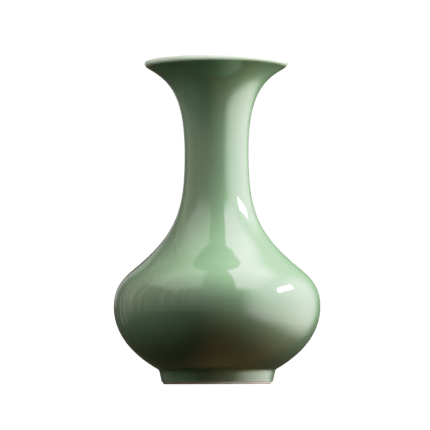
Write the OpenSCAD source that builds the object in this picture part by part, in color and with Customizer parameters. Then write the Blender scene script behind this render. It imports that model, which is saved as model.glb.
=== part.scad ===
// A bottle vase with a trumpet mouth, a waisted neck and a squat round belly on a low foot ring.
// Its clay is thrown in three sections and a foot ring, which are luted together with slip, and then coated
// with glaze. Every piece is turned about the upright axis. The origin is on that axis, on the plane that the
// vase stands on. All lengths are in millimetres and all slopes in degrees above level.

/* [Overall] */
// Height from the footrim to the top of the lip
vase_h = 300; // [290:1:315]

/* [Mouth] */
// Diameter over the lip
mouth_d = 134.2; // [128:0.2:142]
// Slope of the mouth just under the lip
lip_slope = 30; // [29:1:36]
// Radius of the rolled outer edge of the lip
lip_roll = 4.2; // [3:0.1:4.8]
// How far the pale lip glaze runs down from the rolled edge
lip_band = 1.2; // [1:0.2:6]

/* [Neck] */
// Diameter of the neck at its narrowest
throat_d = 59.8; // [54:0.2:64]
// Height of the narrowest place
throat_z = 215.6; // [208:0.2:224]

/* [Shoulder] */
// Diameter where the neck's hollow curve turns into the belly's round one
shoulder_d = 138; // [134:0.2:142]
// Height of that place
shoulder_z = 114; // [111:0.2:117]
// Slope of the outside there
shoulder_slope = 41.7; // [37:0.1:46]

/* [Belly] */
// Largest diameter of the vase
belly_d = 192; // [186:0.2:196]
// Height of the largest diameter
belly_z = 72; // [69:0.5:75]

/* [Foot] */
// Diameter where the belly meets the foot
foot_top_d = 110; // [109.4:0.2:111]
// Height of that place
foot_top_z = 13.8; // [13.4:0.1:15]
// Slope of the belly just above the foot
foot_top_slope = 30; // [26:1:34]
// Diameter of the foot at the edge of the glaze
foot_d = 103.4; // [102.4:0.2:104]
// How far the foot's wall leans out from upright
foot_lean = 12; // [8:1:14]
// Diameter of the recess under the vase, at its ceiling
recess_d = 88.4; // [84:0.2:89]
// Height of the recess's clay ceiling
recess_z = 8.4; // [7.4:0.1:9]
// Width of the flat ring that the vase stands on
rim_flat_w = 2.2; // [1.6:0.1:2.4]

/* [Walls] */
// Thickness of the clay at the lip
lip_wall = 2.6; // [2.4:0.1:3]
// Thickness of the clay at the foot, which it grows to evenly on the way down
foot_wall = 6; // [5:0.1:6.5]
// Thickness of the clay floor at its middle
floor_t = 5.6; // [5:0.1:7]
// Thickness of the glaze on the outside
glaze_t = 0.6; // [0.5:0.05:0.8]
// Thickness of the glaze on the lip, the inside and the base
thin_glaze_t = 0.35; // [0.3:0.05:0.5]

/* [Joints] */
// Height of the joint between the neck and the shoulder
neck_joint_z = 148; // [130:1:170]
// Thickness of the slip in the joints
slip_t = 0.8; // [0.6:0.1:1.2]
// How much lower a joint lies on the inside of the wall than on its outside
scarf = 4; // [2:0.5:6]

/* [Hidden] */

clay = [0.93, 0.91, 0.87];
biscuit = [0.85, 0.74, 0.66];
slip = [0.88, 0.85, 0.80];
celadon = [0.62, 0.76, 0.60];
pale_celadon = [0.80, 0.87, 0.77];

steps = 14;        // segments in one stretch of the profile
turn = 96;         // segments of a full turn, read only by the preview
upright = 90;
lip_t = lip_wall + 2 * thin_glaze_t;
fillet_z = foot_top_z - 3.5;       // lower end of the hollow between the belly and the foot
glaze_edge_z = 2.2;                // where the outside glaze stops, above the bare footrim
base_edge_z = 3.2;                 // where the base glaze stops on the recess's wall
recess_lean = 3;
rim_mid_r = (foot_d / 2 + recess_d / 2) / 2 - 0.5;
rim_out_r = rim_mid_r + rim_flat_w / 2;
rim_in_r = rim_mid_r - rim_flat_w / 2;

function heading(slope) = [cos(slope), sin(slope)];
function reversed(points) = [for (i = [len(points) - 1 : -1 : 0]) points[i]];

// A stretch of the profile is a cubic curve between two places. Each place has the slope of the line there, and
// a reach: how far its slope is held, as a share of the stretch's height.
function stretch(top, top_slope, top_reach, low, low_slope, low_reach) =
    let (h = top[1] - low[1])
    [top, top - top_reach * h * heading(top_slope), low + low_reach * h * heading(low_slope), low];
function curve(c, t) =
    pow(1 - t, 3) * c[0] + 3 * pow(1 - t, 2) * t * c[1] + 3 * (1 - t) * t * t * c[2] + pow(t, 3) * c[3];
function curve_speed(c, t) =
    3 * pow(1 - t, 2) * (c[1] - c[0]) + 6 * (1 - t) * t * (c[2] - c[1]) + 3 * t * t * (c[3] - c[2]);

// The outside of the vase, from the lip down: the places where its stretches meet
lip_top_r = (lip_t - lip_roll * (1 - sin(lip_slope))) / (1 + sin(lip_slope));
lip_roll_c = [mouth_d / 2 - lip_roll, vase_h - lip_top_r];
lip_top_c = [mouth_d / 2 - lip_top_r, vase_h - lip_top_r];
lip_p = lip_roll_c + lip_roll * heading(lip_slope - upright);
throat_p = [throat_d / 2, throat_z];
shoulder_p = [shoulder_d / 2, shoulder_z];
belly_p = [belly_d / 2, belly_z];
foot_p = [foot_top_d / 2, foot_top_z];
wall_slope = upright - foot_lean;
edge_p = [foot_d / 2, glaze_edge_z];
fillet_p = edge_p + (fillet_z - glaze_edge_z) / sin(wall_slope) * heading(wall_slope);
stretches = [
    stretch(lip_p, lip_slope, 0.29, throat_p, upright, 0.69),
    stretch(throat_p, upright, 0.48, shoulder_p, 180 - shoulder_slope, 0.44),
    stretch(shoulder_p, 180 - shoulder_slope, 0.39, belly_p, upright, 0.55),
    stretch(belly_p, upright, 0.49, foot_p, foot_top_slope, 0.38),
    stretch(foot_p, foot_top_slope, 0.2, fillet_p, wall_slope, 0.6),
    stretch(fillet_p, wall_slope, 1 / 3, edge_p, wall_slope, 1 / 3)
];
at_foot = 4;       // a place on the profile is counted in stretches from the lip
at_fillet_end = 5;
at_glaze_edge = 6;

function part_of(s) = min(floor(s), len(stretches) - 1);
function outline(s) = curve(stretches[part_of(s)], s - part_of(s));
function speed(s) = curve_speed(stretches[part_of(s)], s - part_of(s));
function inward(s) = let (d = speed(s)) [d[1], -d[0]] / norm(d);
function along(s, distance) = s + distance / norm(speed(s));
function place_at(z, low = 0, high = at_glaze_edge, tries = 30) =
    let (s = (low + high) / 2)
    tries == 0 ? s : outline(s)[1] > z ? place_at(z, s, high, tries - 1) : place_at(z, low, s, tries - 1);

// The wall has four skins, counted from the outside: the glaze, the clay under it, the inside of the clay,
// and the glaze on that
GLAZE = 0;
CLAY = 1;
CLAY_INSIDE = 2;
GLAZE_INSIDE = 3;
function glaze_at(s) = thin_glaze_t + (glaze_t - thin_glaze_t) * min(1, 3 * s);
function clay_at(s) = lip_wall + (foot_wall - lip_wall) * (1 - outline(s)[1] / vase_h);
function depth(layer, s) =
    layer == GLAZE ? 0 :
    layer == CLAY ? glaze_at(s) :
    layer == CLAY_INSIDE ? glaze_at(s) + clay_at(s) : glaze_at(s) + clay_at(s) + thin_glaze_t;
function skin(layer, s) = outline(s) + depth(layer, s) * inward(s);

// The cuts divide the profile where one piece ends and the next begins
LIP = 0;
BAND = 1;
NECK_JOINT = 2;
NECK_JOINT_END = 3;
BELLY_JOINT = 4;
BELLY_JOINT_END = 5;
WALL_END = 6;
FOOT_JOINT_END = 7;
GLAZE_EDGE = 8;
neck_s = place_at(neck_joint_z);
belly_s = place_at(belly_z);
outside_cuts = [0, along(0, lip_band), neck_s, along(neck_s, slip_t), belly_s, along(belly_s, slip_t),
    place_at(fillet_z + slip_t), at_fillet_end, at_glaze_edge];
inside_cuts = [0, along(0, lip_band), along(neck_s, scarf), along(neck_s, scarf + slip_t),
    along(belly_s, scarf), along(belly_s, scarf + slip_t), at_foot];

function line(layer, from, to) =
    let (cuts = layer < CLAY_INSIDE ? outside_cuts : inside_cuts)
    concat(
        [for (k = [from : to - 1])
            let (length = cuts[k + 1] - cuts[k], n = ceil(length * steps))
            for (i = [0 : n - 1]) skin(layer, cuts[k] + length * i / n)],
        [skin(layer, cuts[to])]);
// Over the lip: the rolled outer edge up to the largest radius, then the small round of the top
function over_lip(depth) = concat(
    [for (i = [1 : 4]) lip_roll_c + (lip_roll - depth) * heading((lip_slope - upright) * (1 - i / 4))],
    [for (i = [1 : 7]) lip_top_c + (lip_top_r - depth) * heading((lip_slope + upright) * i / 8)]);
function floor_line(start, z) =
    [for (i = [1 : 10]) curve([start, start - 8 * heading(foot_top_slope), [26, z], [0, z]], i / 10)];

floor_z = recess_z + floor_t;
clay_floor = floor_line(skin(CLAY_INSIDE, at_foot), floor_z);
glaze_floor = floor_line(skin(GLAZE_INSIDE, at_foot), floor_z + thin_glaze_t);

// The foot ring fits round a low step under the floor, with slip on both faces of the joint
joint_low = skin(CLAY, outside_cuts[FOOT_JOINT_END]);
joint_high = skin(CLAY, outside_cuts[WALL_END]);
step_r = recess_d / 2 - slip_t;
function recess_wall(z) = [recess_d / 2 + (recess_z - z) * tan(recess_lean), z];
rim_start = skin(CLAY, at_glaze_edge);
rim_outer_round = [for (i = [1 : 6])
    curve([rim_start, rim_start - 1.3 * heading(wall_slope), [rim_out_r + 1.3, 0], [rim_out_r, 0]], i / 6)];
rim_inner_round = [for (i = [0 : 5])
    curve([[rim_in_r, 0], [rim_in_r - 0.7, 0], recess_wall(0.7), recess_wall(1.6)], i / 5)];

module turned(points) {
    rotate_extrude($fn = turn) polygon(points);
}

// A band of the wall between two skins and two cuts
module wall_band(outside, inside, from, to) {
    turned(concat(line(outside, from, to), reversed(line(inside, from, to))));
}

module neck_section() {
    color(clay) turned(concat(
        reversed(line(CLAY, LIP, NECK_JOINT)),
        over_lip(thin_glaze_t),
        line(CLAY_INSIDE, LIP, NECK_JOINT)));
}

module shoulder_section() {
    color(clay) wall_band(CLAY, CLAY_INSIDE, NECK_JOINT_END, BELLY_JOINT);
}

// The lower half of the belly, with the floor and the step that the foot ring fits round
module belly_section() {
    color(clay) turned(concat(
        line(CLAY, BELLY_JOINT_END, WALL_END),
        [[step_r, joint_high[1]], [step_r, recess_z], [0, recess_z]],
        reversed(clay_floor),
        reversed(line(CLAY_INSIDE, BELLY_JOINT_END, WALL_END))));
}

module foot_ring() {
    color(biscuit) turned(concat(
        line(CLAY, FOOT_JOINT_END, GLAZE_EDGE),
        rim_outer_round,
        rim_inner_round,
        [recess_wall(base_edge_z), recess_wall(recess_z), [recess_d / 2, joint_low[1]]]));
}

module neck_lute() {
    color(slip) wall_band(CLAY, CLAY_INSIDE, NECK_JOINT, NECK_JOINT_END);
}

module belly_lute() {
    color(slip) wall_band(CLAY, CLAY_INSIDE, BELLY_JOINT, BELLY_JOINT_END);
}

module foot_lute() {
    color(slip) turned(concat(
        line(CLAY, WALL_END, FOOT_JOINT_END),
        [[recess_d / 2, joint_low[1]], [recess_d / 2, recess_z], [step_r, recess_z],
            [step_r, joint_high[1]]]));
}

module outer_glaze() {
    color(celadon) wall_band(GLAZE, CLAY, BAND, GLAZE_EDGE);
}

// The pale coat that wraps over the lip, from the outside of the mouth to its inside
module lip_glaze() {
    color(pale_celadon) turned(concat(
        reversed(line(GLAZE, LIP, BAND)),
        over_lip(0),
        line(GLAZE_INSIDE, LIP, BAND),
        reversed(line(CLAY_INSIDE, LIP, BAND)),
        reversed(over_lip(thin_glaze_t)),
        line(CLAY, LIP, BAND)));
}

module inner_glaze() {
    color(celadon) turned(concat(
        line(GLAZE_INSIDE, BAND, WALL_END),
        glaze_floor,
        reversed(clay_floor),
        reversed(line(CLAY_INSIDE, BAND, WALL_END))));
}

// The coat on the ceiling and the wall of the recess under the vase
module base_glaze() {
    ceiling_z = recess_z - thin_glaze_t;
    corner_r = 1.5;
    inset = [thin_glaze_t, 0];
    corner = recess_wall(ceiling_z - corner_r) - inset - [corner_r, 0];
    color(celadon) turned(concat(
        [[0, recess_z], recess_wall(recess_z), recess_wall(base_edge_z), recess_wall(base_edge_z) - inset],
        [for (a = [0 : 15 : 90]) corner + corner_r * heading(a)],
        [[0, ceiling_z]]));
}

neck_section();
shoulder_section();
belly_section();
foot_ring();
neck_lute();
belly_lute();
foot_lute();
outer_glaze();
lip_glaze();
inner_glaze();
base_glaze();
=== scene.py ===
import math

import bmesh
import bpy
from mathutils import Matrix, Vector


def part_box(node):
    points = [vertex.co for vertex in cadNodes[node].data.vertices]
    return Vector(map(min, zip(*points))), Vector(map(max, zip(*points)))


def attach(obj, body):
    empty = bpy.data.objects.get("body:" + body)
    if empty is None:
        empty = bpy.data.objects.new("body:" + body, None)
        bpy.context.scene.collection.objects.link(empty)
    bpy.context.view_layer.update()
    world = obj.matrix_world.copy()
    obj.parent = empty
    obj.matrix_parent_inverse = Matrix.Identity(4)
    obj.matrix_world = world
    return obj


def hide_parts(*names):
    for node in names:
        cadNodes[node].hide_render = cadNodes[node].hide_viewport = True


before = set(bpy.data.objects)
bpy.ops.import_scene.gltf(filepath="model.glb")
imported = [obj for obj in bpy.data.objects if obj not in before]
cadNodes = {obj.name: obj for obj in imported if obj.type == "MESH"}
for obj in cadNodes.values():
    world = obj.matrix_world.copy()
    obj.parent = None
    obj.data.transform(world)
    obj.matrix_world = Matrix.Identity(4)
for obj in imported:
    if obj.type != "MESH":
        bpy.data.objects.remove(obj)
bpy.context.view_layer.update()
scene = bpy.context.scene
bodyName = "root"
print("frame loaded,", len(cadNodes), "pieces")


# small helpers for node trees
def addNode(tree, kind, inputs=None, **settings):
    node = tree.nodes.new(kind)
    for name, value in settings.items():
        setattr(node, name, value)
    for name, value in (inputs or {}).items():
        socket = node.inputs[name]
        if isinstance(value, bpy.types.NodeSocket):
            tree.links.new(value, socket)
        else:
            socket.default_value = value
    return node


def sums(tree, operation, a, b=0.0, c=0.0):
    return addNode(tree, "ShaderNodeMath", {0: a, 1: b, 2: c}, operation=operation).outputs[0]


def newGroup(name, kind, ins, outs):
    # sockets are given as (name, short type, default)
    types = {"f": "NodeSocketFloat", "i": "NodeSocketInt", "c": "NodeSocketColor",
             "g": "NodeSocketGeometry", "m": "NodeSocketMaterial"}
    tree = bpy.data.node_groups.new(name, kind)
    for label, short, default in ins:
        socket = tree.interface.new_socket(label, in_out="INPUT", socket_type=types[short])
        if default is not None:
            socket.default_value = default
    for label, short in outs:
        tree.interface.new_socket(label, in_out="OUTPUT", socket_type=types[short])
    return tree, tree.nodes.new("NodeGroupInput").outputs, tree.nodes.new("NodeGroupOutput")


def placeGroup(tree, group, inputs):
    node = tree.nodes.new("ShaderNodeGroup")
    node.node_tree = group
    for name, value in inputs.items():
        if isinstance(value, bpy.types.NodeSocket):
            tree.links.new(value, node.inputs[name])
        else:
            node.inputs[name].default_value = value
    return node.outputs


def mixColours(tree, factor, a, b):
    node = addNode(tree, "ShaderNodeMix", data_type="RGBA")
    for socket, value in ((node.inputs[0], factor), (node.inputs[6], a), (node.inputs[7], b)):
        if isinstance(value, bpy.types.NodeSocket):
            tree.links.new(value, socket)
        else:
            socket.default_value = value
    return node.outputs[2]


def ramp(tree, value, low, high, toLow=0.0, toHigh=1.0):
    inputs = {"Value": value, "From Min": low, "From Max": high, "To Min": toLow, "To Max": toHigh}
    return addNode(tree, "ShaderNodeMapRange", inputs, interpolation_type="SMOOTHSTEP").outputs[0]


# a low camera, level with the foot and tilted up to the middle of the vase
cameraSetup = {
    "distance": 2.4,
    "height": 0.010,
    "aim": 0.1573,          # height on the axis at the middle of the frame
    "sideways": -0.0021,
    "roll": 0.2,            # degrees
    "lens": 216.2,          # lens and sensor are in millimetres
    "sensor": 36.0,
    "reach": 50.0,          # nothing farther away is drawn
}


def makeCamera():
    data = bpy.data.cameras.new("camera")
    data.lens = cameraSetup["lens"]
    data.sensor_width = cameraSetup["sensor"]
    data.clip_end = cameraSetup["reach"]
    camera = bpy.data.objects.new("camera", data)
    scene.collection.objects.link(camera)
    tilt = math.atan2(cameraSetup["aim"] - cameraSetup["height"], cameraSetup["distance"])
    camera.location = (cameraSetup["sideways"], -cameraSetup["distance"], cameraSetup["height"])
    camera.rotation_mode = "XYZ"
    camera.rotation_euler = (math.pi / 2 + tilt, math.radians(cameraSetup["roll"]), 0.0)
    scene.camera = camera


# the film holds back the brightest tones, so pale reflections stay soft
filmWhite = 1.6      # strength of light that comes out white
filmCurve = ((0.32, 0.32), (0.57, 0.57), (0.80, 0.72))      # light in, tone out
filmEnd = (1.0, 0.815)
allColours = 3       # the curve that acts on red, green and blue together


def loadFilm():
    view = scene.view_settings
    view.view_transform = "Standard"
    view.use_curve_mapping = True
    mapping = view.curve_mapping
    mapping.extend = "EXTRAPOLATED"
    curve = mapping.curves[allColours]
    curve.points[1].location = filmEnd
    for x, y in filmCurve:
        curve.points.new(x, y)
    mapping.update()


makeCamera()
loadFilm()
print("camera placed")


# each turned piece's outline is read from its CAD node, on the half plane y = 0, x > 0
def sectionLoop(node):
    mesh = cadNodes[node].data
    flat = 2e-6      # a point this near the plane lies on it
    grid = 5e-6      # points in one square of this size are one
    keys, places, links = {}, {}, {}
    for vertex in mesh.vertices:
        x, y, z = vertex.co
        if abs(y) < flat and x > -flat:
            keys[vertex.index] = (round(x / grid), round(z / grid))
            places[keys[vertex.index]] = Vector((max(x, 0.0), z))
    for face in mesh.polygons:
        corners = list(face.vertices)
        for a, b in zip(corners, corners[1:] + corners[:1]):
            if a in keys and b in keys and keys[a] != keys[b]:
                links.setdefault(keys[a], set()).add(keys[b])
                links.setdefault(keys[b], set()).add(keys[a])
    ends = sorted(key for key, near in links.items() if len(near) == 1)
    walk = [ends[0] if ends else max(links)]
    while True:
        ahead = sorted(key for key in links[walk[-1]] if key not in walk)
        if not ahead:
            break
        walk.append(ahead[0])
    return [places[key] for key in walk], not ends


def turnAt(points, i):
    before, after = points[i] - points[i - 1], points[(i + 1) % len(points)] - points[i]
    return abs(before.angle_signed(after))


cornerTurn = math.radians(25)         # the outline turns more than this at a real corner
straightTurn = math.radians(0.05)     # and less than this at a point that only splits a straight line


def cutAtCorners(points, closed):
    # the runs of the outline between its real corners, without the points that only split a straight line
    inner = range(len(points)) if closed else range(1, len(points) - 1)
    straight = {i for i in inner if turnAt(points, i) < straightTurn}
    corners = [i for i in inner if turnAt(points, i) > cornerTurn]
    if closed:
        first = corners[0]
        points = points[first:] + points[:first + 1]
        straight = {(i - first) % (len(points) - 1) for i in straight}
        corners = [i - first for i in corners] + [len(points) - 1]
    else:
        corners = [0] + corners + [len(points) - 1]
    spans = zip(corners, corners[1:])
    return [[points[i] for i in range(a, b + 1) if i not in straight] for a, b in spans]


def smoothRun(run, spacing):
    # a curve through the run's points
    fine = []
    for i in range(len(run) - 1):
        p1, p2 = run[i], run[i + 1]
        p0 = run[i - 1] if i else p1 + (p1 - p2)
        p3 = run[i + 2] if i + 2 < len(run) else p2 + (p2 - p1)
        gap = (p2 - p1).length
        m1 = (p2 - p0) * gap / (gap + (p1 - p0).length)
        m2 = (p3 - p1) * gap / (gap + (p3 - p2).length)
        steps = max(1, round(gap / spacing))
        for step in range(steps):
            t = step / steps
            fine.append((2 * t ** 3 - 3 * t ** 2 + 1) * p1 + (t ** 3 - 2 * t ** 2 + t) * m1
                        + (3 * t ** 2 - 2 * t ** 3) * p2 + (t ** 3 - t ** 2) * m2)
    return fine + [run[-1]]


def outlineMesh(name, node, shownSide, spacing):
    # the run that is seen is the one that reaches furthest towards shownSide
    points, closed = sectionLoop(node)
    runs = cutAtCorners(points, closed)
    seen = max(runs, key=lambda run: max(p.dot(Vector(shownSide)) for p in run))
    path, shown = [], []
    for run in runs:
        fine = smoothRun(run, spacing) if run is seen else list(run)
        path += fine[:-1]
        shown += [0.0] + [float(run is seen)] * (len(fine) - 2)
    if not closed:
        path.append(runs[-1][-1])
        shown.append(0.0)
    count = len(path)
    edges = [(i, (i + 1) % count) for i in range(count if closed else count - 1)]
    mesh = bpy.data.meshes.new(name)
    mesh.from_pydata([(p.x, 0.0, p.y) for p in path], edges, [])
    mesh.attributes.new("shown", "FLOAT", "POINT").data.foreach_set("value", shown)
    return mesh


# the wheel is a Geometry Nodes tree that turns an outline about the upright axis
hub = 1e-5                        # radius of the circle that carries the outline
weld = 1e-6                       # points nearer than this become one
crispTurn = math.radians(40)      # edges that bend more than this are shaded crisp


def makeWheel():
    tree, ins, out = newGroup("potter's wheel", "GeometryNodeTree", [
        ("Outline", "g", None), ("Turn Steps", "i", 96), ("Ring Pitch", "f", 0.004), ("Ring Depth", "f", 0.0),
        ("Swell Size", "f", 0.05), ("Swell Depth", "f", 0.0), ("Seed", "f", 1.0), ("Material", "m", None),
    ], [("Piece", "g")])
    place = addNode(tree, "ShaderNodeSeparateXYZ", {0: addNode(tree, "GeometryNodeInputPosition").outputs[0]})
    flat = addNode(tree, "ShaderNodeCombineXYZ", {"X": sums(tree, "SUBTRACT", place.outputs["X"], hub),
                                                  "Y": sums(tree, "MULTIPLY", place.outputs["Z"], -1.0)})
    laid = addNode(tree, "GeometryNodeSetPosition", {"Geometry": ins["Outline"], "Position": flat.outputs[0]})
    curve = addNode(tree, "GeometryNodeMeshToCurve", {"Mesh": laid.outputs[0]})
    circle = addNode(tree, "GeometryNodeCurvePrimitiveCircle",
                     {"Resolution": ins["Turn Steps"], "Radius": hub})
    turned = addNode(tree, "GeometryNodeCurveToMesh",
                     {"Curve": circle.outputs[0], "Profile Curve": curve.outputs[0]})
    closed = addNode(tree, "GeometryNodeMergeByDistance", {"Geometry": turned.outputs[0], "Distance": weld})

    # spiral throwing rings and slow swells, always pressed into the wall
    here = addNode(tree, "GeometryNodeInputPosition").outputs[0]
    axes = addNode(tree, "ShaderNodeSeparateXYZ", {0: here}).outputs
    angle = sums(tree, "ARCTAN2", axes["Y"], axes["X"])
    climb = sums(tree, "DIVIDE", sums(tree, "MULTIPLY", axes["Z"], 2 * math.pi), ins["Ring Pitch"])
    wave = sums(tree, "SINE", sums(tree, "ADD", climb, angle))
    ring = sums(tree, "ADD", sums(tree, "MULTIPLY", wave, 0.5), -0.5)      # from -1 to 0
    ringFall = sums(tree, "MULTIPLY", ring, ins["Ring Depth"])
    scale = sums(tree, "DIVIDE", 1.0, ins["Swell Size"])
    noise = addNode(tree, "ShaderNodeTexNoise",
                    {"Vector": here, "W": ins["Seed"], "Detail": 1.0, "Scale": scale}, noise_dimensions="4D")
    swellFall = sums(tree, "MULTIPLY", sums(tree, "SUBTRACT", noise.outputs[0], 1.0), ins["Swell Depth"])
    shown = addNode(tree, "GeometryNodeInputNamedAttribute", {"Name": "shown"}, data_type="FLOAT").outputs[0]
    fall = sums(tree, "MULTIPLY", sums(tree, "ADD", ringFall, swellFall), shown)
    push = addNode(tree, "ShaderNodeVectorMath", {0: addNode(tree, "GeometryNodeInputNormal").outputs[0],
                                                  "Scale": fall}, operation="SCALE")
    formed = addNode(tree, "GeometryNodeSetPosition",
                     {"Geometry": closed.outputs[0], "Offset": push.outputs[0]})

    soft = addNode(tree, "GeometryNodeSetShadeSmooth", {"Geometry": formed.outputs[0], "Shade Smooth": True})
    bend = addNode(tree, "GeometryNodeInputMeshEdgeAngle").outputs["Unsigned Angle"]
    crisp = addNode(tree, "FunctionNodeCompare", {0: bend, 1: crispTurn}, operation="GREATER_THAN")
    shaded = addNode(tree, "GeometryNodeSetShadeSmooth",
                     {"Geometry": soft.outputs[0], "Selection": crisp.outputs[0], "Shade Smooth": False},
                     domain="EDGE")
    whole = addNode(tree, "GeometryNodeRealizeInstances", {"Geometry": shaded.outputs[0]})
    coated = addNode(tree, "GeometryNodeSetMaterial",
                     {"Geometry": whole.outputs[0], "Material": ins["Material"]})
    tree.links.new(coated.outputs[0], out.inputs["Piece"])
    return tree


wheel = makeWheel()


def turnPiece(name, node, shownSide, spacing, material, sizes):
    base = bpy.data.objects.new(name + "Outline", outlineMesh(name + "Outline", node, shownSide, spacing))
    scene.collection.objects.link(base)
    modifier = base.modifiers.new("wheel", "NODES")
    modifier.node_group = wheel
    sockets = {item.name: item.identifier for item in wheel.interface.items_tree if item.in_out == "INPUT"}
    for label, value in dict(sizes, Material=material).items():
        modifier[sockets[label]] = value
    graph = bpy.context.evaluated_depsgraph_get()
    mesh = bpy.data.meshes.new_from_object(base.evaluated_get(graph))
    bpy.data.objects.remove(base)
    work = bmesh.new()
    work.from_mesh(mesh)
    bmesh.ops.recalc_face_normals(work, faces=work.faces)
    work.to_mesh(mesh)
    work.free()
    mesh.name = name
    piece = bpy.data.objects.new(name, mesh)
    scene.collection.objects.link(piece)
    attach(piece, bodyName)
    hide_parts(node)
    low, high = (Vector(f(v.co[k] for v in mesh.vertices) for k in range(3)) for f in (min, max))
    print(name, len(mesh.polygons), "faces", [round(c, 4) for c in (*low, *high)], "from", node)


# finishes: shared effects are node groups that put out colours, values and heights

def texture(tree, vector, size, detail=2.0, seed=0.0):
    return addNode(tree, "ShaderNodeTexNoise", {"Vector": vector, "Scale": 1.0 / size, "Detail": detail,
                                                "W": seed}, noise_dimensions="4D").outputs[0]


def objectPlace(tree):
    return addNode(tree, "ShaderNodeTexCoord").outputs["Object"]


def heightOf(tree):
    return addNode(tree, "ShaderNodeSeparateXYZ", {0: objectPlace(tree)}).outputs["Z"]


def rareDots(tree, here, dots):
    # soft round dots in the middle of a few cells
    cells = addNode(tree, "ShaderNodeTexVoronoi", {"Vector": here, "Scale": dots["cells"]})
    chance = addNode(tree, "ShaderNodeSeparateColor", {0: cells.outputs["Color"]}).outputs[dots["channel"]]
    rare = sums(tree, "GREATER_THAN", chance, dots["empty"])
    return sums(tree, "MULTIPLY", ramp(tree, cells.outputs["Distance"], *dots["edge"]), rare)


# cells to a metre, the colour channel that picks them, the share left empty, and the dot's edge in cells
ironDots = {"cells": 90.0, "channel": 0, "empty": 0.86, "edge": (0.035, 0.012)}
ironBrown = (0.12, 0.10, 0.05, 1)
slowClouds = {"size": 0.055, "seed": 2.0, "edges": (0.3, 0.7)}
fineClouds = {"size": 0.007, "seed": 5.0, "edges": (0.25, 0.75), "detail": 4.0, "share": 0.35}


def makeGlazeTone():
    # glaze is pale where it is thin and deep where it pools, with faint clouds and a few iron specks
    tree, ins, out = newGroup("glaze tone", "ShaderNodeTree", [
        ("Body", "c", (0.34, 0.55, 0.33, 1)), ("Pale", "c", (0.62, 0.73, 0.58, 1)),
        ("Deep", "c", (0.2, 0.38, 0.2, 1)), ("Thinness", "f", 0.0), ("Pooling", "f", 0.0),
        ("Clouds", "f", 0.3), ("Specks", "f", 0.5),
    ], [("Colour", "c")])
    here = objectPlace(tree)
    slow = ramp(tree, texture(tree, here, slowClouds["size"], seed=slowClouds["seed"]), *slowClouds["edges"])
    wisps = texture(tree, here, fineClouds["size"], detail=fineClouds["detail"], seed=fineClouds["seed"])
    fine = ramp(tree, wisps, *fineClouds["edges"])
    cloud = sums(tree, "MULTIPLY", sums(tree, "MULTIPLY_ADD", fine, fineClouds["share"], slow), ins["Clouds"])
    deepest = addNode(tree, "ShaderNodeMath", {0: cloud, 1: ins["Pooling"]}, operation="ADD", use_clamp=True)
    body = mixColours(tree, deepest.outputs[0], ins["Body"], ins["Deep"])
    thin = mixColours(tree, ins["Thinness"], body, ins["Pale"])
    mask = sums(tree, "MULTIPLY", rareDots(tree, here, ironDots), ins["Specks"])
    tree.links.new(mixColours(tree, mask, thin, ironBrown), out.inputs["Colour"])
    return tree


pinholeDots = {"cells": 60.0, "channel": 1, "empty": 0.9, "edge": (0.03, 0.0)}
pinholeDepth = 6e-5
peelGrain = {"detail": 1.5, "seed": 3.0}
glossHaze = {"size": 0.03, "detail": 3.0, "seed": 8.0, "edges": (0.35, 0.8)}


def makeGlazeSkin():
    # the fired skin: a soft orange peel, pinholes, and slow changes of gloss; heights are in metres
    tree, ins, out = newGroup("glaze skin", "ShaderNodeTree", [
        ("Peel Size", "f", 0.004), ("Peel Depth", "f", 4e-6), ("Pinholes", "f", 1.0),
        ("Gloss", "f", 0.06), ("Gloss Change", "f", 0.04),
    ], [("Height", "f"), ("Roughness", "f")])
    here = objectPlace(tree)
    scale = sums(tree, "DIVIDE", 1.0, ins["Peel Size"])
    peel = addNode(tree, "ShaderNodeTexNoise", {"Vector": here, "Scale": scale, "Detail": peelGrain["detail"],
                                                "W": peelGrain["seed"]}, noise_dimensions="4D").outputs[0]
    holes = sums(tree, "MULTIPLY", rareDots(tree, here, pinholeDots), ins["Pinholes"])
    pits = sums(tree, "MULTIPLY", holes, -pinholeDepth)
    tree.links.new(sums(tree, "MULTIPLY_ADD", peel, ins["Peel Depth"], pits), out.inputs["Height"])
    veil = texture(tree, here, glossHaze["size"], detail=glossHaze["detail"], seed=glossHaze["seed"])
    haze = ramp(tree, veil, *glossHaze["edges"])
    tree.links.new(sums(tree, "ADD", ins["Gloss"], sums(tree, "MULTIPLY", haze, ins["Gloss Change"])),
                   out.inputs["Roughness"])
    return tree


kilnBlush = {"size": 0.018, "detail": 3.0, "seed": 11.0, "edges": (0.35, 0.75)}
clayGrain = {"size": 0.0006, "detail": 4.0, "seed": 13.0, "edges": (0.2, 0.8), "roughness": (0.62, 0.82)}
clayGrog = {"size": 0.0016, "detail": 1.0, "seed": 17.0, "edges": (0.68, 0.78), "share": 0.35,
            "colour": (0.36, 0.27, 0.2, 1)}


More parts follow.
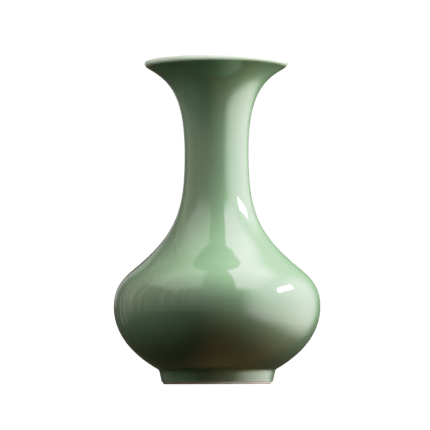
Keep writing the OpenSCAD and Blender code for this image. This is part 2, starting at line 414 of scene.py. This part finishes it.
def makeFiredClay():
    # bare clay: fine grain, grog, faint turning lines and blushes where the kiln has flashed it
    tree, ins, out = newGroup("fired clay", "ShaderNodeTree", [
        ("Clay", "c", (0.8, 0.77, 0.72, 1)), ("Flash", "c", (0.62, 0.42, 0.3, 1)), ("Flashing", "f", 0.4),
        ("Grain Depth", "f", 2e-5), ("Line Pitch", "f", 0.0012), ("Line Depth", "f", 2e-5),
    ], [("Colour", "c"), ("Height", "f"), ("Roughness", "f")])
    here = objectPlace(tree)
    glow = texture(tree, here, kilnBlush["size"], detail=kilnBlush["detail"], seed=kilnBlush["seed"])
    blush = ramp(tree, glow, *kilnBlush["edges"])
    flashed = mixColours(tree, sums(tree, "MULTIPLY", blush, ins["Flashing"]), ins["Clay"], ins["Flash"])
    grain = texture(tree, here, clayGrain["size"], detail=clayGrain["detail"], seed=clayGrain["seed"])
    grit = texture(tree, here, clayGrog["size"], detail=clayGrog["detail"], seed=clayGrog["seed"])
    grog = sums(tree, "MULTIPLY", ramp(tree, grit, *clayGrog["edges"]), clayGrog["share"])
    tree.links.new(mixColours(tree, grog, flashed, clayGrog["colour"]), out.inputs["Colour"])
    axes = addNode(tree, "ShaderNodeSeparateXYZ", {0: here}).outputs
    reach = sums(tree, "SQRT", sums(tree, "ADD", sums(tree, "MULTIPLY", axes["X"], axes["X"]),
                                    sums(tree, "MULTIPLY", axes["Y"], axes["Y"])))
    climb = sums(tree, "DIVIDE", sums(tree, "ADD", reach, axes["Z"]), ins["Line Pitch"])
    turnLines = sums(tree, "SINE", sums(tree, "MULTIPLY", climb, 2 * math.pi))
    height = sums(tree, "ADD", sums(tree, "MULTIPLY", turnLines, ins["Line Depth"]),
                  sums(tree, "MULTIPLY", grain, ins["Grain Depth"]))
    tree.links.new(height, out.inputs["Height"])
    tree.links.new(ramp(tree, grain, *clayGrain["edges"], *clayGrain["roughness"]), out.inputs["Roughness"])
    return tree


glazeTone = makeGlazeTone()
glazeSkin = makeGlazeSkin()
firedClay = makeFiredClay()
print("shared finishes built")


def newMaterial(name):
    material = bpy.data.materials.new(name)
    material.use_nodes = True
    tree = material.node_tree
    return material, tree, tree.nodes["Principled BSDF"]


def glazeColour(tree, look, thinness, pooling):
    return placeGroup(tree, glazeTone, {"Body": look["body"], "Pale": look["pale"], "Deep": look["deep"],
                                        "Thinness": thinness, "Pooling": pooling,
                                        "Clouds": look["clouds"], "Specks": look["specks"]})["Colour"]


def dress(tree, shader, colour, roughness, height):
    tree.links.new(colour, shader.inputs["Base Color"])
    tree.links.new(roughness, shader.inputs["Roughness"])
    bump = addNode(tree, "ShaderNodeBump", {"Height": height, "Distance": 1.0, "Strength": 1.0})
    tree.links.new(bump.outputs[0], shader.inputs["Normal"])


celadon = {
    "body": (0.345, 0.545, 0.335, 1),
    "pale": (0.60, 0.72, 0.56, 1),
    "deep": (0.215, 0.400, 0.215, 1),
    "bare": (0.74, 0.60, 0.50, 1),
    "clouds": 0.10,
    "specks": 0.35,
    "lipThin": (0.2945, 0.2975),      # heights between which the coat thins out towards the lip
    "lipThinness": 0.5,
    "pool": (0.0175, 0.0135, 0.009),  # heights of the pool in the hollow above the foot: start, deepest, end
    "pooling": 0.45,
    "edge": 0.0031,                   # height at which the coat starts to break over the clay
    "edgeWander": 0.0009,
    "wanderSize": 0.006,
    "wanderSeed": 21.0,
    "breakHeight": 0.0011,            # it is gone this far below the edge
    "thinHeight": 0.0012,             # and starts to thin this far above it
    "edgeThinness": 0.8,
    "bareRoughness": 0.5,             # added to the roughness where the clay is bare
    "bareDrop": 2e-4,                 # how much lower the bare clay looks
}
celadonSkin = {"Peel Size": 0.006, "Peel Depth": 5e-6, "Pinholes": 0.7, "Gloss": 0.05, "Gloss Change": 0.04}


def makeCeladon():
    material, tree, shader = newMaterial("celadon glaze")
    z = heightOf(tree)
    start, deepest, end = celadon["pool"]
    pool = sums(tree, "MULTIPLY", ramp(tree, z, start, deepest), ramp(tree, z, end, deepest))
    wander = texture(tree, objectPlace(tree), celadon["wanderSize"], seed=celadon["wanderSeed"])
    level = sums(tree, "ADD", z, sums(tree, "MULTIPLY", wander, -2 * celadon["edgeWander"]))
    edge = celadon["edge"] - celadon["edgeWander"]
    broken = ramp(tree, level, edge, edge - celadon["breakHeight"])
    atLip = sums(tree, "MULTIPLY", ramp(tree, z, *celadon["lipThin"]), celadon["lipThinness"])
    atEdge = ramp(tree, level, edge + celadon["thinHeight"], edge, 0, celadon["edgeThinness"])
    thin = sums(tree, "MAXIMUM", atLip, atEdge)
    colour = glazeColour(tree, celadon, thin, sums(tree, "MULTIPLY", pool, celadon["pooling"]))
    skin = placeGroup(tree, glazeSkin, celadonSkin)
    dress(tree, shader, mixColours(tree, broken, colour, celadon["bare"]),
          sums(tree, "MULTIPLY_ADD", broken, celadon["bareRoughness"], skin["Roughness"]),
          sums(tree, "ADD", skin["Height"], sums(tree, "MULTIPLY", broken, -celadon["bareDrop"])))
    return material


paleLip = {
    "body": (0.74, 0.84, 0.69, 1),
    "pale": (0.88, 0.91, 0.84, 1),
    "deep": (0.52, 0.66, 0.47, 1),
    "clouds": 0.12,
    "specks": 0.2,
    "crest": (0.0012, 0.0002),      # distances below the top between which the coat thins
    "crestThinness": 0.7,
    "low": (0.0030, 0.0052),        # distances below the top between which it deepens
}
paleLipSkin = {"Peel Size": 0.005, "Peel Depth": 4e-6, "Pinholes": 0.4, "Gloss": 0.08, "Gloss Change": 0.05}


def makeLipGlaze():
    material, tree, shader = newMaterial("pale lip glaze")
    z = heightOf(tree)
    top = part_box("lip_glaze")[1][2]
    crest = ramp(tree, z, *(top - below for below in paleLip["crest"]))
    low = ramp(tree, z, *(top - below for below in paleLip["low"]))
    colour = glazeColour(tree, paleLip, sums(tree, "MULTIPLY", crest, paleLip["crestThinness"]), low)
    skin = placeGroup(tree, glazeSkin, paleLipSkin)
    dress(tree, shader, colour, skin["Roughness"], skin["Height"])
    return material


thinCoat = {
    "body": (0.43, 0.61, 0.41, 1),
    "pale": (0.66, 0.75, 0.62, 1),
    "deep": (0.26, 0.46, 0.26, 1),
    "clouds": 0.22,
    "specks": 0.5,
    "crest": (0.2, 1.0),        # parts of the ring's wave, which runs from -1 to 1
    "hollow": (-0.2, -1.0),
    "change": 0.14,
}
thinCoatSkin = {"Peel Size": 0.005, "Peel Depth": 8e-6, "Pinholes": 1.0, "Gloss Change": 0.08}


def makeThinGlaze(name, gloss, ringPitch):
    # the coat on the inside and on the base: thinner on the crests of the rings, deeper between them
    material, tree, shader = newMaterial(name)
    axes = addNode(tree, "ShaderNodeSeparateXYZ", {0: objectPlace(tree)}).outputs
    climb = sums(tree, "DIVIDE", sums(tree, "MULTIPLY", axes["Z"], 2 * math.pi), ringPitch)
    ring = sums(tree, "SINE", sums(tree, "ADD", climb, sums(tree, "ARCTAN2", axes["Y"], axes["X"])))
    colour = glazeColour(tree, thinCoat, ramp(tree, ring, *thinCoat["crest"], 0.0, thinCoat["change"]),
                         ramp(tree, ring, *thinCoat["hollow"], 0.0, thinCoat["change"]))
    skin = placeGroup(tree, glazeSkin, dict(thinCoatSkin, Gloss=gloss))
    dress(tree, shader, colour, skin["Roughness"], skin["Height"])
    return material


footrimLook = {"Clay": (0.86, 0.78, 0.70, 1), "Flash": (0.74, 0.50, 0.37, 1), "Flashing": 0.6,
               "Grain Depth": 3e-5, "Line Pitch": 0.0009, "Line Depth": 1.5e-5}
porcelainLook = {"Clay": (0.80, 0.77, 0.72, 1), "Flash": (0.72, 0.62, 0.52, 1), "Flashing": 0.3,
                 "Grain Depth": 2e-5, "Line Pitch": 0.003, "Line Depth": 3e-5}
slipLook = {"Clay": (0.74, 0.70, 0.63, 1), "Flash": (0.6, 0.5, 0.4, 1), "Flashing": 0.4,
            "Grain Depth": 5e-5, "Line Pitch": 0.002, "Line Depth": 0.0}


def makeClay(name, look):
    material, tree, shader = newMaterial(name)
    made = placeGroup(tree, firedClay, look)
    dress(tree, shader, made["Colour"], made["Roughness"], made["Height"])
    return material


celadonGlaze = makeCeladon()
lipGlaze = makeLipGlaze()
innerGlaze = makeThinGlaze("inner glaze", gloss=0.09, ringPitch=0.009)
baseGlaze = makeThinGlaze("base glaze", gloss=0.12, ringPitch=0.004)
footrimClay = makeClay("bare footrim", footrimLook)
porcelainClay = makeClay("porcelain clay", porcelainLook)
lutingSlip = makeClay("luting slip", slipLook)
print("materials made")


# the turned pieces; pitches, sizes and depths are in metres
outerCoat = {"Turn Steps": 192, "Ring Pitch": 0.011, "Ring Depth": 0.00003, "Swell Size": 0.060,
             "Swell Depth": 0.00010, "Seed": 4.0}
lipCoat = {"Turn Steps": 192, "Swell Size": 0.045, "Swell Depth": 0.00008, "Seed": 9.0}
innerCoat = {"Turn Steps": 192, "Ring Pitch": 0.009, "Ring Depth": 0.00009, "Swell Size": 0.05,
             "Swell Depth": 0.00006, "Seed": 6.0}
baseCoat = {"Turn Steps": 192, "Swell Size": 0.02, "Swell Depth": 0.00008, "Seed": 7.0}
rimClay = {"Turn Steps": 192, "Swell Size": 0.012, "Swell Depth": 0.00006, "Seed": 8.0}

# directions on the half plane towards the side of the outline that is seen, and distances between its points
outwards, upwards, downwards = (1, 0), (0, 1), (0, -1)
inAndUp, inAndDown = (-1, 0.5), (-1, -1)
wallSpacing = 0.0016
lipSpacing = 0.0005
rimSpacing = 0.0004

turnPiece("outerGlaze", "outer_glaze", outwards, wallSpacing, celadonGlaze, outerCoat)
turnPiece("lipGlaze", "lip_glaze", upwards, lipSpacing, lipGlaze, lipCoat)
turnPiece("innerGlaze", "inner_glaze", inAndUp, wallSpacing, innerGlaze, innerCoat)
turnPiece("baseGlaze", "base_glaze", inAndDown, wallSpacing, baseGlaze, baseCoat)
turnPiece("footRing", "foot_ring", downwards, rimSpacing, footrimClay, rimClay)

for node in ("neck_section", "shoulder_section", "belly_section", "neck_lute", "belly_lute", "foot_lute"):
    finish = lutingSlip if node.endswith("lute") else porcelainClay
    slots = cadNodes[node].material_slots
    for slot in slots:
        slot.material = finish
    if not slots:
        cadNodes[node].data.materials.append(finish)
print("clay and slip finished")


# studio: glowing sheets that only reflections see, soft lights that only colour sees, and a pale floor

white = (1, 1, 1, 1)


def bareMaterial(name):
    material = bpy.data.materials.new(name)
    material.use_nodes = True
    material.node_tree.nodes.clear()
    return material, material.node_tree


def softSheet(name, corner, across, up, glow, fades):
    # fades are how far the glow takes to build up from each side, in metres: left, right, bottom, top
    corner, across, up = Vector(corner), Vector(across), Vector(up)
    mesh = bpy.data.meshes.new(name)
    mesh.from_pydata([corner, corner + across, corner + across + up, corner + up], [], [(0, 1, 2, 3)])
    wide, tall = across.length, up.length
    places = ((0, 0), (wide, 0), (wide, tall), (0, tall))
    for loop, place in zip(mesh.uv_layers.new(name="metres").data, places):
        loop.uv = place
    sheet = bpy.data.objects.new(name, mesh)
    scene.collection.objects.link(sheet)
    sheet.visible_camera = sheet.visible_diffuse = sheet.visible_shadow = sheet.visible_transmission = False
    material, tree = bareMaterial(name)
    metres = addNode(tree, "ShaderNodeUVMap", uv_map="metres").outputs[0]
    axes = addNode(tree, "ShaderNodeSeparateXYZ", {0: metres}).outputs
    u, v = axes["X"], axes["Y"]
    left, right, bottom, top = fades
    mask = 1.0
    sides = ((u, 0.0, left), (u, wide, wide - right), (v, 0.0, bottom), (v, tall, tall - top))
    for along, first, last in sides:
        mask = sums(tree, "MULTIPLY", mask, ramp(tree, along, first, last))
    strength = sums(tree, "MULTIPLY", mask, glow)
    light = addNode(tree, "ShaderNodeEmission", {"Color": white, "Strength": strength})
    clear = addNode(tree, "ShaderNodeBsdfTransparent")
    both = addNode(tree, "ShaderNodeAddShader", {0: light.outputs[0], 1: clear.outputs[0]})
    addNode(tree, "ShaderNodeOutputMaterial", {"Surface": both.outputs[0]})
    mesh.materials.append(material)


def softLight(name, place, target, size, power):
    data = bpy.data.lights.new(name, "AREA")
    data.shape = "RECTANGLE"
    data.size, data.size_y = size
    data.energy = power
    light = bpy.data.objects.new(name, data)
    scene.collection.objects.link(light)
    light.location = place
    light.rotation_mode = "QUATERNION"
    light.rotation_quaternion = (Vector(target) - Vector(place)).to_track_quat("-Z", "Y")
    light.visible_glossy = False
    return light


rightSheet = {"corner": (0.80, -1.9, -0.62), "across": (0, 3.15, 0), "up": (0, 0, 1.72), "glow": 4.6,
              "fades": (1.48, 1.35, 0.50, 0.60)}

overhead = {
    "height": 0.95,
    "gapLeft": -0.08,       # sides of the dark gap between the two sheets, where they cross the middle
    "gapRight": 0.10,
    "spreadLeft": 0.22,     # how far each side of the gap runs outwards for each metre towards the camera
    "spreadRight": 0.33,
    "front": -1.45,         # where both sheets end towards the camera
    "backLeft": 0.40,       # where each sheet ends behind the vase
    "backRight": 0.60,
    "wideLeft": 1.3,
    "wideRight": 0.88,
    "glowLeft": 1.75,
    "glowRight": 6.2,
    "fadesLeft": (0.6, 0.04, 0.85, 0.50),
    "fadesRight": (0.01, 0.50, 0.85, 0.50),
}

# a bare lamp behind the right-hand sheet, seen through it
lamp = {"corner": (2.50, -0.66, 1.12), "across": (0, 1.26, 0.22), "up": (0, 0.16, 0.50), "glow": 120.0,
        "fades": (0.02, 0.02, 0.02, 0.02)}

# narrow gaps of light between the dark flags on the left
flagGaps = {
    "distance": 0.9,
    "low": -0.2,
    "up": (0, 0, 0.9),
    "gaps": ((-131, 0.02, 1.1), (-125, 0.012, 0.9), (-119, 0.02, 1.0)),     # bearing in degrees, width, glow
    "fades": (0.004, 0.004, 0.1, 0.2),
}

# a pale strip behind the flags
backLeftSheet = {"corner": (-0.9, 0.95, 0.05), "across": (0.55, 0.35, 0), "up": (0, 0, 0.9), "glow": 0.5,
                 "fades": (0.55, 0.1, 0.15, 0.2)}


def hangOverhead():
    top, front = overhead["height"], overhead["front"]
    outRight, outLeft = overhead["spreadRight"], overhead["spreadLeft"]
    backRight, backLeft = overhead["backRight"], overhead["backLeft"]
    softSheet("overheadRight", (overhead["gapRight"] - outRight * front, front, top),
              (overhead["wideRight"], 0, 0), (outRight * (front - backRight), backRight - front, 0),
              overhead["glowRight"], overhead["fadesRight"])
    softSheet("overheadLeft", (overhead["gapLeft"] + outLeft * front - overhead["wideLeft"], front, top),
              (overhead["wideLeft"], 0, 0), (outLeft * (backLeft - front), backLeft - front, 0),
              overhead["glowLeft"], overhead["fadesLeft"])


def hangFlagGaps():
    for k, (bearing, wide, glow) in enumerate(flagGaps["gaps"]):
        x = flagGaps["distance"] * math.sin(math.radians(bearing))
        y = -flagGaps["distance"] * math.cos(math.radians(bearing))
        side = Vector((y, -x, 0)).normalized() * wide
        softSheet("leftGap%d" % k, (x, y, flagGaps["low"]), side, flagGaps["up"], glow, flagGaps["fades"])


softSheet("rightSheet", **rightSheet)
hangOverhead()
softSheet("lamp", **lamp)
hangFlagGaps()
softSheet("backLeft", **backLeftSheet)

roomLights = {
    "overhead": {"place": (0.46, -0.10, 0.95), "target": (0, 0, 0.10), "size": (0.6, 0.9), "power": 10.7},
    "right": {"place": (0.80, -0.06, 0.52), "target": (0, 0, 0.12), "size": (0.9, 0.5), "power": 8.6},
    "left": {"place": (-0.80, -0.46, 0.80), "target": (0, 0, 0.10), "size": (0.6, 0.5), "power": 2.9},
}
for name, setup in roomLights.items():
    softLight(name, **setup)


def lightOnly(piece, name, place, target, size, power):
    receivers = bpy.data.collections.new(name + "Receivers")
    receivers.objects.link(bpy.data.objects[piece])
    softLight(name, place, target, size, power).light_linking.receiver_collection = receivers


# light that the thin lip lets through
lipTarget = (0, 0, 0.29)
lipLightSize = (0.7, 0.5)
lightOnly("lipGlaze", "throughLip", (0.58, -0.70, 0.55), lipTarget, lipLightSize, power=13.5)
lightOnly("lipGlaze", "throughLipLeft", (-0.60, -0.70, 0.50), lipTarget, lipLightSize, power=4.0)

# light that the table throws up at the footrim
rimTarget = (0, 0, 0.0)
rimLightSize = (0.5, 0.3)
lightOnly("footRing", "tableRight", (0.72, -0.28, 0.02), rimTarget, rimLightSize, power=2.8)
lightOnly("footRing", "tableFront", (-0.20, -0.70, 0.02), rimTarget, rimLightSize, power=0.3)


# edges are the parts of a direction, from -1 to 1, between which one colour gives way to the next
room = {
    "benchLeft": (0.04, 0.036, 0.022, 1),
    "benchMiddle": (0.45, 0.27, 0.10, 1),
    "benchRight": (1.0, 0.62, 0.28, 1),
    "benchEdges": ((-0.4, 0.05), (0.3, 0.9)),
    "curtainDark": (0.80, 0.80, 0.55, 1),
    "curtainLight": (1.90, 1.85, 1.35, 1),
    "foldScale": 14.0,
    "foldDetail": 3.0,
    "foldEdges": (0.35, 0.7),
    "wall": (0.28, 0.28, 0.22, 1),
    "wallEdges": (-0.9, 0.3),
    "benchTop": (-0.35, 0.25),
    "back": (0.05, 0.05, 0.035, 1),
    "backEdges": (0.30, 0.85),
    "backShare": 0.88,
    "faint": (0.02, 0.018, 0.013, 1),
}


def makeWorld():
    # the camera sees white; reflections see a dim room over a brown bench that is lighter to the right
    world = bpy.data.worlds.new("room")
    scene.world = world
    world.use_nodes = True
    tree = world.node_tree
    tree.nodes.clear()
    direction = addNode(tree, "ShaderNodeTexCoord").outputs["Generated"]
    aim = addNode(tree, "ShaderNodeSeparateXYZ", {0: direction}).outputs
    toMiddle, toRight = (ramp(tree, aim["X"], *edges) for edges in room["benchEdges"])
    brown = mixColours(tree, toRight, room["benchMiddle"], room["benchRight"])
    bench = mixColours(tree, toMiddle, room["benchLeft"], brown)
    turn = sums(tree, "ARCTAN2", aim["Y"], aim["X"])
    folds = addNode(tree, "ShaderNodeTexNoise",
                    {"W": turn, "Scale": room["foldScale"], "Detail": room["foldDetail"]},
                    noise_dimensions="1D").outputs[0]
    lit = ramp(tree, folds, *room["foldEdges"])
    curtain = mixColours(tree, lit, room["curtainDark"], room["curtainLight"])
    sides = mixColours(tree, ramp(tree, aim["X"], *room["wallEdges"]), curtain, room["wall"])
    whole = mixColours(tree, ramp(tree, aim["Z"], *room["benchTop"]), bench, sides)
    behind = ramp(tree, aim["Y"], *room["backEdges"], 0.0, room["backShare"])
    around = mixColours(tree, behind, whole, room["back"])
    path = addNode(tree, "ShaderNodeLightPath").outputs
    dim = addNode(tree, "ShaderNodeBackground", {"Color": around, "Strength": 1.0})
    faint = addNode(tree, "ShaderNodeBackground", {"Color": room["faint"], "Strength": 1.0})
    bright = addNode(tree, "ShaderNodeBackground", {"Color": white, "Strength": filmWhite})
    seen = addNode(tree, "ShaderNodeMixShader",
                   {0: path["Is Glossy Ray"], 1: faint.outputs[0], 2: dim.outputs[0]})
    both = addNode(tree, "ShaderNodeMixShader",
                   {0: path["Is Camera Ray"], 1: seen.outputs[0], 2: bright.outputs[0]})
    addNode(tree, "ShaderNodeOutputWorld", {"Surface": both.outputs[0]})


makeWorld()

sweep = {
    "reach": 4.0,
    "shade": 0.84,              # share of white at the foot
    "shadeEdges": (0.15, 0.9),  # distances from the axis between which it rises to white
    "matt": (0.55, 0.55, 0.55, 1),
}


def layFloor():
    # a pale sweep that reads almost white, with a soft shadow at the foot; only the camera sees it
    mesh = bpy.data.meshes.new("floor")
    reach = sweep["reach"]
    corners = [(-reach, -reach, 0), (reach, -reach, 0), (reach, reach, 0), (-reach, reach, 0)]
    mesh.from_pydata(corners, [], [(0, 1, 2, 3)])
    floor = bpy.data.objects.new("floor", mesh)
    scene.collection.objects.link(floor)
    floor.visible_diffuse = floor.visible_glossy = floor.visible_transmission = floor.visible_shadow = False
    material, tree = bareMaterial("pale sweep")
    away = addNode(tree, "ShaderNodeVectorMath", {0: objectPlace(tree)}, operation="LENGTH").outputs["Value"]
    strength = ramp(tree, away, *sweep["shadeEdges"], sweep["shade"] * filmWhite, filmWhite)
    glow = addNode(tree, "ShaderNodeEmission", {"Color": white, "Strength": strength})
    matt = addNode(tree, "ShaderNodeBsdfDiffuse", {"Color": sweep["matt"]})
    both = addNode(tree, "ShaderNodeAddShader", {0: glow.outputs[0], 1: matt.outputs[0]})
    clear = addNode(tree, "ShaderNodeBsdfTransparent")
    under = addNode(tree, "ShaderNodeNewGeometry").outputs["Backfacing"]     # from below it is not there
    oneSided = addNode(tree, "ShaderNodeMixShader", {0: under, 1: both.outputs[0], 2: clear.outputs[0]})
    addNode(tree, "ShaderNodeOutputMaterial", {"Surface": oneSided.outputs[0]})
    mesh.materials.append(material)


layFloor()
print("studio set")
